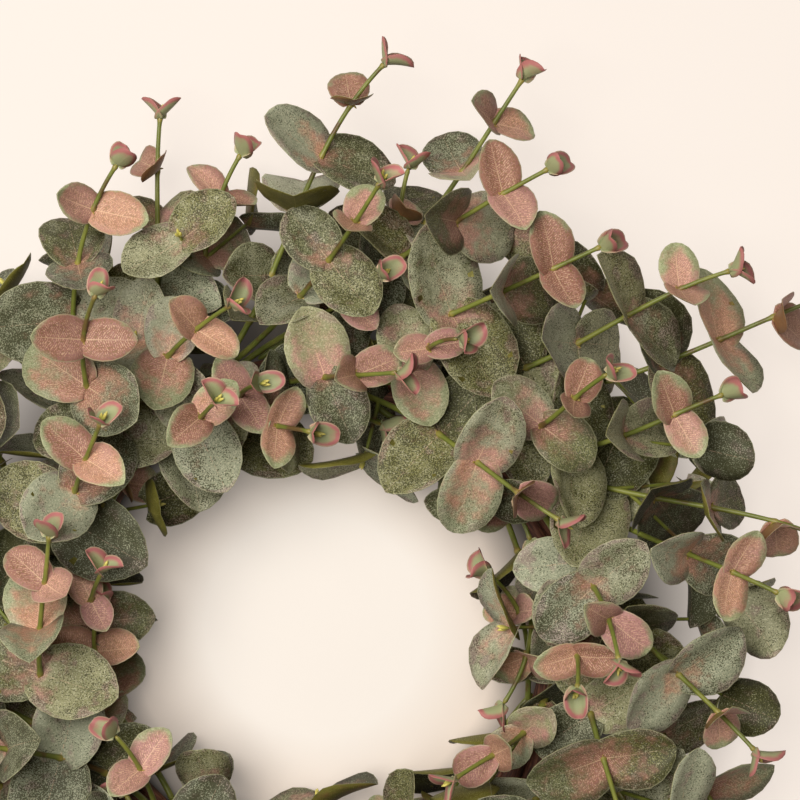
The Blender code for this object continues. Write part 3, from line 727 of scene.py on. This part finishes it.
def roomFor(room, points, shape, onShoot):
    # least free room of each group of points, none where it leaves the box, the ground or the open hole
    low, high = np.array(cadBox[0]) + (0, 0, shape["ground"]), np.array(cadBox[1])
    high[2] = shape["ceiling"][onShoot]
    outside = ((points < low) | (points > high)).any(axis=(-1, -2))
    away = np.abs((points - holeCentre)[..., :2])
    reach = np.linalg.norm(away, axis=-1)
    outside |= (reach > shape["outside"][onShoot]).any(axis=-1)
    inside = reach < shape["hole"]
    for box in shape["holeBoxes"]:
        inside |= (away < box).all(axis=-1)
    cells = roomCells(np.clip(points, low, high))
    free = room[tuple(np.moveaxis(cells, -1, 0))].astype(float)
    free = free.min(axis=-1) + 0.1 * free.mean(axis=-1)
    return np.where(outside | inside.any(axis=-1), 0, free)


def squareTo(ways):
    # two directions square to each way and to each other
    side = unit(np.cross(ways, (0.2, 0.1, 0.97)))
    return side, np.cross(ways, side)


def bestPair(room, roots, ways, shape, size, onShoot):
    # the pair of leaves with most room, of every root, fold and turn, where out leans forwards by the fold
    side, other = squareTo(ways)
    turn = np.arange(2 * shape["turns"])[:, None] * np.pi / shape["turns"]
    radial = np.cos(turn) * side[:, None, None] + np.sin(turn) * other[:, None, None]
    fold = np.radians(shape["folds"])[:, None, None]
    forward = ways[:, None, None]
    out = np.cos(fold) * radial + np.sin(fold) * forward
    normal = np.cos(fold) * forward - np.sin(fold) * radial
    length = out * shape["length"] * size
    half = np.cross(out, normal) * shape["length"] * size * shape["ratio"] / 2
    points = spread(np.broadcast_to(roots[:, None, None], out.shape), length, half, normal, roomShape["tried"])
    free = roomFor(room, points, shape, onShoot)
    both = np.minimum(free, np.roll(free, shape["turns"], axis=2)) + 0.3 * free
    best = np.unravel_index(both.argmax(), both.shape)
    pair = []
    for column in (best[2], (best[2] + shape["turns"]) % len(turn)):
        spot = (best[0], best[1], column)
        if free[spot] > shape["least"][onShoot]:
            leaf = {"root": roots[best[0]], "length": length[spot], "half": half[spot], "normal": normal[spot]}
            leaf["points"] = 7  # like a large leaf of the solids
            leaf["bentBack"] = normal[spot][2] < -0.3  # its upper face, all the same, looks up
            pair.append(leaf)
    return pair, best[0]


def leafPoints(leaf):
    return spread(leaf["root"], leaf["length"], leaf["half"], leaf["normal"], roomShape["filled"])


def settle(room, pair):
    for leaf in pair:
        crowd(room, leafPoints(leaf))


def addOlder(room, leaves, controls, shape):
    # pairs on the stem itself
    line = stemLine(controls)
    ways = unit(np.gradient(line, axis=0))
    run = runAlong(line) / mm
    lowest = min(leaf["share"] for leaf in leaves)
    place = run[int(lowest * stemSteps)] - shape["stepMm"]
    while place > shape["nearestMm"]:
        i = int(np.searchsorted(run, place))
        for size in shape["sizes"]:
            size = size * rng.uniform(0.92, 1.05)
            pair, _ = bestPair(room, line[i : i + 1], ways[i : i + 1], shape, size, False)
            if pair:
                break
        for leaf in pair:
            leaf["share"] = i / stemSteps
        settle(room, pair)
        leaves += pair
        place -= shape["stepMm"] * rng.uniform(0.85, 1.1)


def addShoots(room, controls, shape):
    # side shoots: from a spot on the lower stem every lean, turn and length is tried, with a pair at its end
    line = stemLine(controls)
    run = runAlong(line) / mm
    turn = np.arange(shape["shootTurns"])[:, None] * 2 * np.pi / shape["shootTurns"]
    probes = np.array(shape["probesMm"])[:, None] * mm
    start, step = shape["spotsMm"]
    shoots = []
    for place in np.arange(start, shape["upTo"] * run[-1], step):
        i = int(np.searchsorted(run, place))
        way = unit(line[i + 1] - line[i - 1])
        side, other = squareTo(way)
        radial = np.cos(turn) * side + np.sin(turn) * other
        lean = np.radians(shape["leans"])[:, None, None]
        ways = (np.cos(lean) * way + np.sin(lean) * radial).reshape(-1, 3)
        ways = np.tile(ways, (len(shape["shoots"]), 1))
        length = np.repeat(shape["shoots"], len(ways) // len(shape["shoots"]))[:, None]
        roots = line[i] + ways * length
        free = roomFor(room, roots[:, None] - ways[:, None] * probes, shape, True) > 1
        if not free.any():
            continue
        for size in shape["sizes"][:2]:
            pair, best = bestPair(room, roots[free], ways[free], shape, size * rng.uniform(0.85, 1.0), True)
            if len(pair) == 2:
                break
        if len(pair) == 2:
            settle(room, pair)
            shoots.append({"from": line[i], "way": ways[free][best], "to": roots[free][best], "pair": pair})
        if len(shoots) == shape["most"]:
            break
    return shoots


sprays = {node: readSpray(node) for node in sprayNames}
extent = np.array(cadBox[1]) - cadBox[0] + 2 * roomShape["margin"]
room = np.full((extent / roomShape["cell"]).astype(int) + 2, roomShape["reach"], np.int8)
solid = [readSolid("vine_ring")[0]]
for leaves, controls in sprays.values():
    solid += [leafPoints(leaf) for leaf in leaves]
    solid.append(bezier(controls, np.linspace(0.1, 1, 60)))
crowd(room, np.concatenate(solid))
for leaves, controls in sprays.values():
    addOlder(room, leaves, controls, olderShape)
shoots = {node: addShoots(room, sprays[node][1], olderShape) for node in sprayNames}
print("leaves on the stems:", sum(len(leaves) for leaves, _ in sprays.values()))
print("side shoots:", sum(len(found) for found in shoots.values()))


stubShape = {"length": 2.6 * mm, "radius": 0.55 * mm, "lean": 0.8, "off": 1.1 * mm, "rows": 4, "sides": 5, "dry": 1.6}


def addStubs(piece, root, way, across, shape):
    # two tiny dry bud scales in the forks between a stem and its leaves
    t = np.linspace(0, 1, shape["rows"])
    for side in (-1, 1):
        axis = unit(way + side * shape["lean"] * across)
        line = root + side * across * shape["off"] + np.outer(t * shape["length"], axis)
        radii = shape["radius"] * np.sin(np.pi * (0.15 + 0.8 * t))
        piece.add(*sweep(line, radii, shape["sides"]), 1, blush=shape["dry"])


shootShape = {
    "radiiMm": (1.2, 0.9),
    "closing": 0.4,
    "bend": 0.3,  # share of the length from either end to a bend
    "rise": 0.08,
    "past": 5 * mm,  # it runs on beyond its pair
    "budsPast": 3 * mm,
    "rows": 14,
    "sides": 6,
}


def addShoot(piece, shoot, shape):
    # a short thin stem that bends out of the main one, with a bud beyond its pair
    start, stop, way = shoot["from"], shoot["to"], shoot["way"]
    length = np.linalg.norm(stop - start)
    end = stop + way * shape["past"]
    early = start + way * length * shape["bend"] + (0, 0, shape["rise"] * length)
    late = stop - way * length * shape["bend"]
    line = bezier(np.array((start, early, late, end)), np.linspace(0, 1, shape["rows"]))
    radii = np.linspace(*shape["radiiMm"], shape["rows"]) * mm
    radii[-1] *= shape["closing"]
    piece.add(*sweep(line, radii, shape["sides"]), 1)
    addBuds(piece, stop + way * shape["budsPast"], end, budShape)


# A spray's colours: leaves are all pink at its tip, then less and less, and leaves farther from the tip and on side
# shoots are darker, as painted shade
sprayTints = {
    "blush": (1.0, 0.92, 0.34, 0.06, 0.0),  # by pair, from the tip
    "pairMm": 32,  # from one pair to the next
    "warmth": 0.15,  # how much one spray's blush differs from another's
    "varies": 0.12,  # likewise one leaf's
    "tones": (0, 0.85),
    "paintedShadePerPair": 0.1,  # painted shade, more with each pair from the tip
    "shootBlush": (-0.1, 0.45),
    # side shoots sit low among the leaves and are darker at random and as painted shade
    "shootTonesAndShade": (0.3, 1.2),
}


def makeSpray(node, leaves, controls, shoots, tints):
    piece = Piece()
    length = curveLength(controls)
    warmth = rng.uniform(-tints["warmth"], tints["warmth"])
    for leaf in leaves:
        behind = (leaves[0]["share"] - leaf["share"]) * length / mm
        pair = min(int(round(behind / tints["pairMm"])), len(tints["blush"]) - 1)
        young = 1.0 if leaf["points"] == 3 else 0.0
        blush = tints["blush"][pair] + warmth + rng.uniform(-tints["varies"], tints["varies"])
        # darker at random and, as painted shade, more with each pair from the tip
        toneAndShade = rng.uniform(*tints["tones"]) + tints["paintedShadePerPair"] * pair
        addLeaf(piece, leaf, leafShape, (blush, toneAndShade, young), rng.uniform(-1, 1, 5))
        if not young:
            across = unit(leaf["half"])
            addStubs(piece, leaf["root"], np.cross(across, unit(leaf["length"])), across, stubShape)
    for shoot in shoots:
        blush = rng.uniform(*tints["shootBlush"])
        for leaf in shoot["pair"]:
            addLeaf(piece, leaf, leafShape, (blush, rng.uniform(*tints["shootTonesAndShade"]), 0), rng.uniform(-1, 1, 5))
        addShoot(piece, shoot, shootShape)
    tip, end = addStem(piece, controls, leaves, stemShape)
    addBuds(piece, tip, end, budShape)
    made = piece.finish(node + "_foliage", [leafCloth, stemPlastic, budPlastic])
    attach(made, "root")
    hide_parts(node)
    return len(leaves) + 2 * len(shoots), len(made.data.polygons)


counted = np.array([makeSpray(node, *sprays[node], shoots[node], sprayTints) for node in sprayNames])
print("sprays made:", len(counted), "leaves:", counted[:, 0].sum(), "faces:", counted[:, 1].sum())


# Ring: strands of vine twisted round each other, with their undersides pressed flat, and thin ends that stick out
ringShape = {
    "radius": 135 * mm,
    "middle": 6 * mm,  # height of the bundle's middle
    "strands": 5,
    "turns": 3,
    "centre": 7.0 * mm,  # bundle's middle to a strand's middle
    "strand": 4.5 * mm,
    "loose": 3,  # thin strands that lie round the bundle
    "looseCentre": 10.6 * mm,
    "looseStrand": 1.3 * mm,
    "rows": 240,
    "sides": 10,
    "floor": 0.2 * mm,
    "twigsFrom": 17 * mm,  # what lies farther from the bundle's middle is a twig
}


def ringPlace(around, section, out):
    # a point at an angle round the ring, and at an angle and a distance round the bundle
    reach = ringShape["radius"] + out * np.cos(section)
    height = ringShape["middle"] + out * np.sin(section)
    return holeCentre + gather(reach * np.cos(around), reach * np.sin(around), height)


def addStrand(piece, shape, phase, turns, centre, radius, knobs):
    # a round section that runs round the bundle as it goes round the ring, its radius waved by knobs
    around = np.arange(shape["rows"]) * 2 * np.pi / shape["rows"]
    section = phase + turns * around
    line = ringPlace(around, section, centre)
    tangent = unit(np.roll(line, -1, axis=0) - np.roll(line, 1, axis=0))
    across = unit(np.cross(tangent, line - ringPlace(around, section, 0)))
    girth = radius * (1 + 0.06 * np.sin(knobs * around + phase) + 0.04 * np.sin(3.1 * knobs * around))
    points, angle = roundSection(line, girth, across, np.cross(across, tangent), shape["sides"])
    points[..., 2] = np.maximum(points[..., 2], shape["floor"])
    flat = gather(around[:, None] * shape["radius"] / (10 * mm), phase * 7 + angle * radius / (10 * mm))
    faces = gridFaces(shape["rows"], shape["sides"], closed=True, ringed=True)[:, (0, 3, 2, 1)]  # turned outwards
    piece.add(points.reshape(-1, 3), flat.reshape(-1, 2), [faces], 0)


def readTwigs(shape):
    # the solid's corners that stand well clear of the bundle are its twig ends: their middles, one for each
    corners, _ = readSolid("vine_ring")
    flat = corners - holeCentre
    around = np.arctan2(flat[:, 1], flat[:, 0])
    nearest = ringPlace(around, np.zeros(len(around)), 0.0)
    far = np.linalg.norm(corners - nearest, axis=1) > shape["twigsFrom"]
    order = np.argsort(around[far])
    ends, angles = corners[far][order], around[far][order]
    groups = np.concatenate(([0], np.cumsum(np.diff(angles) > 0.1)))  # twigs stand farther apart than that
    return [ends[groups == i].mean(axis=0) for i in range(groups[-1] + 1)]


twigShape = {
    "sections": (2.95, 0.2),  # angle round the bundle where an inner and an outer twig start
    "behind": (0.21, 0.12),  # angles round the ring from the tip back to the start and to the bend
    "out": (5 * mm, 10 * mm),  # of these two, from the bundle's middle
    "radiiMm": (1.5, 0.8),
    "point": 0.3 * mm,
    "rows": 16,
    "sides": 7,
}


def addTwig(piece, tip, shape):
    # a thin knobbly shoot that comes out of the bundle behind its tip and bends away from it
    flat = tip - holeCentre
    around = math.atan2(flat[1], flat[0])
    section = shape["sections"][int(math.hypot(flat[0], flat[1]) > ringShape["radius"])]
    start, early = (ringPlace(around + behind, section, out) for behind, out in zip(shape["behind"], shape["out"]))
    late = tip * 0.6 + early * 0.4 + (0, 0, mm)
    line = bezier(np.array((start, early, late, tip)), np.linspace(0, 1, shape["rows"]))
    knobs = 1 + 0.12 * np.sin(np.arange(shape["rows"]) * 2.3)
    radii = np.linspace(*shape["radiiMm"], shape["rows"]) * mm * knobs
    radii[-1] = shape["point"]
    piece.add(*sweep(line, radii, shape["sides"]), 0)


def makeRing(shape):
    piece = Piece()
    for i in range(shape["strands"]):
        phase = i * 2 * np.pi / shape["strands"]
        addStrand(piece, shape, phase, shape["turns"], shape["centre"], shape["strand"], 9 + i)
    for i in range(shape["loose"]):  # these turn the other way, each at its own pitch
        addStrand(piece, shape, 0.4 + i * 2.1, -5 + 2 * i, shape["looseCentre"], shape["looseStrand"], 14 + i)
    twigs = readTwigs(shape)
    for tip in twigs:
        addTwig(piece, tip, twigShape)
    made = piece.finish("twistedVines", [vineBark])
    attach(made, "root")
    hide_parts("vine_ring")
    return len(twigs)


print("ring made, with twig ends:", makeRing(ringShape))


# Studio: a pale paper floor, one large soft light from the upper left, and a dim warm surround, pale at the horizon.
# The paper changes in five steps out from the hole's axis: the hole, its edge, twice under the foliage and outside,
# with painted shade (browner at the hole's edge, dark under the foliage) and painted light (the paper gives off
# light, weakly in the hole and strongly outside, so that shadows there fade).
studio = {
    "size": 12,
    "reach": (0.06, 0.10, 0.125, 0.17, 0.24),
    "span": 0.3,  # metres from the axis to the ramps' end
    # painted shade: browner at the hole's edge and dark brown under the foliage
    "floor": ("E4E0DC", "E2D3C6", "D8C8B0", "D8C8B0", "E2DCD5"),
    "paperShareAndPaintedShade": (0.76, 0.70, 0.08, 0.12, 0.24),  # how much of the light from above the paper gives back, cut low under the foliage as painted shade
    "paintedLightGlow": "FFF3E9",  # painted light: the paper gives off light, so that its shadows are faint
    # painted light: the paper's own light, strong outside the wreath, weak in the hole and almost none under the
    # foliage
    "paintedLightPower": (0.27, 0.24, 0.01, 0.03, 0.76),
    "fibresPerMetre": 700.0,
    "horizon": "DED3C2",
    "surround": "FFD6A2",
    "surroundPower": 0.02,
    "heights": (0.09, 0.22),  # sines of the angles where the pale horizon ends and the dim part starts
    "light": "FFF9F0",
    "lightPower": 65.0,
    "lightPlace": (-0.62, 0.42, 2.0),
    "lightSize": 1.5,
}
view = {"place": (45.76 * mm, 121.68 * mm, 1.75), "focal": 145.4}  # the camera, from the hole's axis


def makeFloor(look):
    bpy.ops.mesh.primitive_plane_add(size=look["size"], location=(0, 0, 0))
    floor = bpy.context.object
    floor.name = "paperFloor"
    material, tree, shader = newMaterial("creamPaperWithPaintedLight")
    place = addNode(tree, "TexCoord", out="Object")
    fibre = addNode(tree, "TexNoise", {"Vector": place, "Scale": look["fibresPerMetre"], "Detail": 4.0})
    bump = addNode(tree, "Bump", {"Strength": 0.05, "Distance": 0.1 * mm, "Height": fibre})
    away = addNode(tree, "VectorMath", (place, tuple(holeCentre)), out="Value", operation="DISTANCE")
    reached = addNode(tree, "Math", (away, 1 / look["span"]), **times)
    places = [reach / look["span"] for reach in look["reach"]]
    tints = [(*np.multiply(linear(c)[:3], share), 1) for c, share in zip(look["floor"], look["paperShareAndPaintedShade"])]
    powers = [(power, power, power, 1) for power in look["paintedLightPower"]]
    # painted shade in the paper's colour and painted light in its own light, both set by distance from the hole's
    # axis
    paper = addNode(tree, "ValToRGB", (reached,), stops=list(zip(places, tints)))
    paintedLightGlow = addNode(tree, "ValToRGB", (reached,), stops=list(zip(places, powers)))
    plug(tree, shader, {"Base Color": paper, "Normal": bump, "Roughness": 0.9})
    plug(tree, shader, {"Emission Color": linear(look["paintedLightGlow"]), "Emission Strength": paintedLightGlow})
    floor.data.materials.append(material)


def makeSurround(look):
    world = bpy.data.worlds.new("surround")
    world.use_nodes = True
    sky = world.node_tree
    height = addNode(sky, "SeparateXYZ", (addNode(sky, "TexCoord", out="Generated"),), out=2)
    dim = (*np.multiply(linear(look["surround"])[:3], look["surroundPower"]), 1)
    stops = list(zip(look["heights"], (linear(look["horizon"]), dim)))
    shades = addNode(sky, "ValToRGB", (height,), stops=stops)
    plug(sky, sky.nodes["Background"], {"Color": shades})
    bpy.context.scene.world = world


def makeLamp(look):
    lamp = bpy.data.lights.new("softBox", "AREA")
    lamp.size = look["lightSize"]
    lamp.energy = look["lightPower"]
    lamp.color = linear(look["light"])[:3]
    softBox = putInScene("softBox", lamp)
    softBox.location = look["lightPlace"]
    aim = -softBox.location.normalized()
    softBox.rotation_euler = aim.to_track_quat("-Z", "Y").to_euler()


def makeCamera(shot):
    camera = bpy.data.cameras.new("camera")
    camera.sensor_width = 36
    camera.lens = shot["focal"]
    bpy.context.scene.camera = putInScene("camera", camera)
    bpy.context.scene.camera.location = holeCentre + np.array(shot["place"])


makeFloor(studio)
makeSurround(studio)
makeLamp(studio)
makeCamera(view)
bpy.context.scene.view_settings.view_transform = "Standard"
print("studio made")
